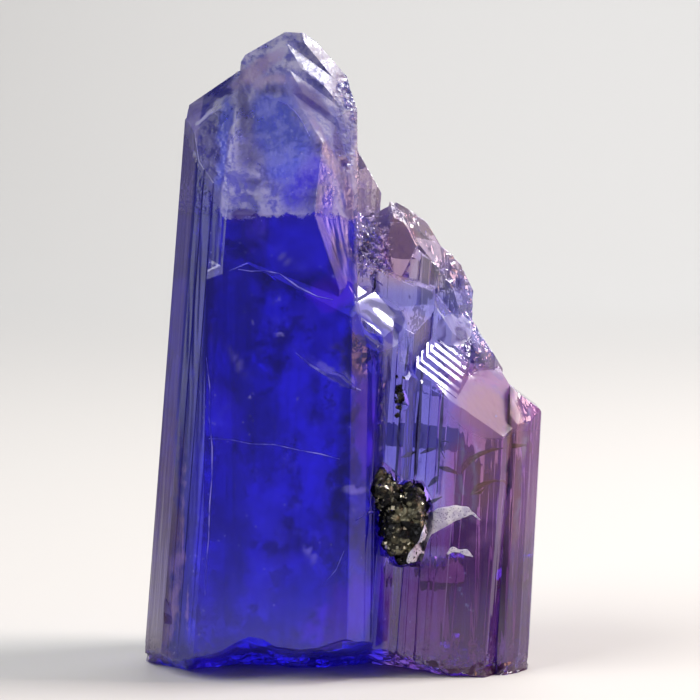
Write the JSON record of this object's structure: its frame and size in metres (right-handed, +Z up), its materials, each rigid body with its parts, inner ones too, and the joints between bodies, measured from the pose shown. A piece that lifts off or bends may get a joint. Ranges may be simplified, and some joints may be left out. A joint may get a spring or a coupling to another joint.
{
  "type": "rough tanzanite",
  "caption": "Uncut blue-violet crystal cluster with two pyramid tips, stair-stepped side prisms and a broken base it stands on, with a dark mineral lump in its notch.",
  "frame": {"origin": "middle of the stone's footprint, on the surface it stands on", "axes": "+Z up along the prisms, +X across the stone towards the stepped side prisms, -Y the side with the notch and the matrix lump"},
  "size_m": [0.0132, 0.0082, 0.0209],
  "materials": {
    "zoisite": "gloss",
    "matrix": "rough"
  },
  "bodies": {
    "root": {"tanzanite_crystal": "zoisite", "matrix_lump": "matrix"}
  },
  "joints": []
}
